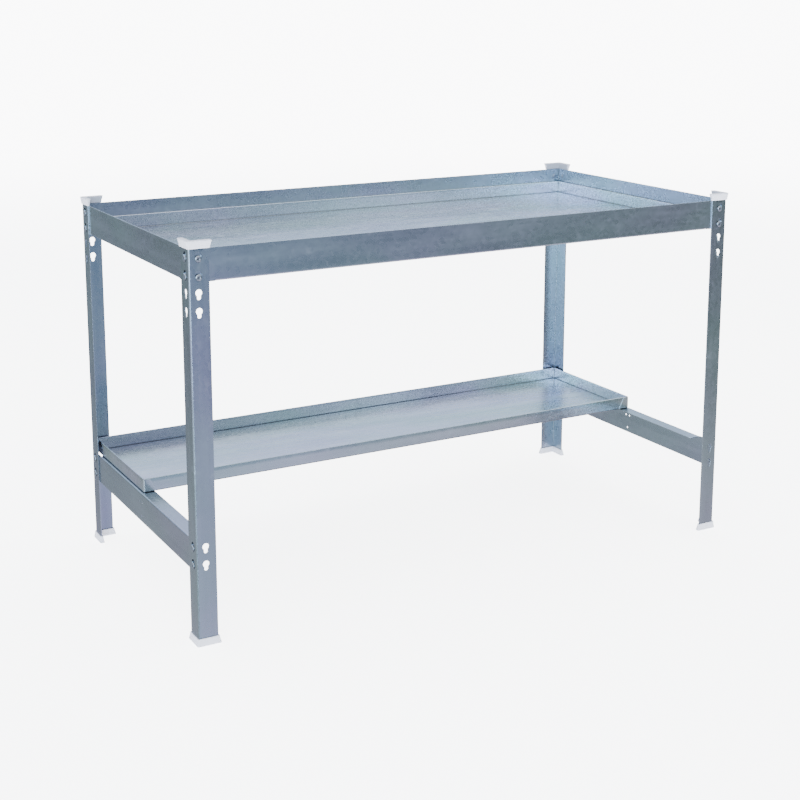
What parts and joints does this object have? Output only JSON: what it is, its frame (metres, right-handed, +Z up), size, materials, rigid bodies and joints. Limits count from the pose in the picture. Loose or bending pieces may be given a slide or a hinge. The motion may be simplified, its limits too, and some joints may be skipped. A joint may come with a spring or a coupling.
{
  "type": "potting bench",
  "caption": "Free-standing galvanised steel potting bench: keyhole angle posts, riveted ledge beams, a full-size lift-out top tray, a half-depth low tray and white plastic end caps.",
  "frame": {"origin": "on the floor, at the centre of the bench's outline", "axes": "+X along the long side, to the right as seen from the front; +Y towards the back; +Z up"},
  "size_m": [1.2176, 0.6176, 0.7478],
  "materials": {
    "galvanised_frame": "galvanised, satin",
    "galvanised_tray": "galvanised, satin with soft streaks",
    "zinc_rivet": "zinc plated",
    "white_plastic": "satin"
  },
  "bodies": {
    "frame": {"post_front_left": "galvanised_frame", "post_front_right": "galvanised_frame", "post_back_right": "galvanised_frame", "post_back_left": "galvanised_frame", "beam_top_front": "galvanised_frame", "beam_top_right": "galvanised_frame", "beam_top_back": "galvanised_frame", "beam_top_left": "galvanised_frame", "beam_low_right": "galvanised_frame", "beam_low_left": "galvanised_frame", "foot_front_left": "white_plastic", "foot_front_right": "white_plastic", "foot_back_right": "white_plastic", "foot_back_left": "white_plastic", "cap_front_left": "white_plastic", "cap_front_right": "white_plastic", "cap_back_right": "white_plastic", "cap_back_left": "white_plastic", "rivet_top_front_a1": "zinc_rivet", "rivet_top_front_a2": "zinc_rivet", "rivet_top_front_b1": "zinc_rivet", "rivet_top_front_b2": "zinc_rivet", "rivet_top_right_a1": "zinc_rivet", "rivet_top_right_a2": "zinc_rivet", "rivet_top_right_b1": "zinc_rivet", "rivet_top_right_b2": "zinc_rivet", "rivet_top_back_a1": "zinc_rivet", "rivet_top_back_a2": "zinc_rivet", "rivet_top_back_b1": "zinc_rivet", "rivet_top_back_b2": "zinc_rivet", "rivet_top_left_a1": "zinc_rivet", "rivet_top_left_a2": "zinc_rivet", "rivet_top_left_b1": "zinc_rivet", "rivet_top_left_b2": "zinc_rivet", "rivet_low_right_a1": "zinc_rivet", "rivet_low_right_a2": "zinc_rivet", "rivet_low_right_b1": "zinc_rivet", "rivet_low_right_b2": "zinc_rivet", "rivet_low_left_a1": "zinc_rivet", "rivet_low_left_a2": "zinc_rivet", "rivet_low_left_b1": "zinc_rivet", "rivet_low_left_b2": "zinc_rivet"},
    "top_tray": {"tray_top": "galvanised_tray"},
    "low_tray": {"tray_low": "galvanised_tray"}
  },
  "joints": [
    {"name": "top_tray_lift", "type": "slide", "parent": "frame", "child": "top_tray", "axis": [0, 0, 1], "range_m": [0, 0.12]},
    {"name": "low_tray_lift", "type": "slide", "parent": "frame", "child": "low_tray", "axis": [0, 0, 1], "range_m": [0, 0.25]}
  ]
}
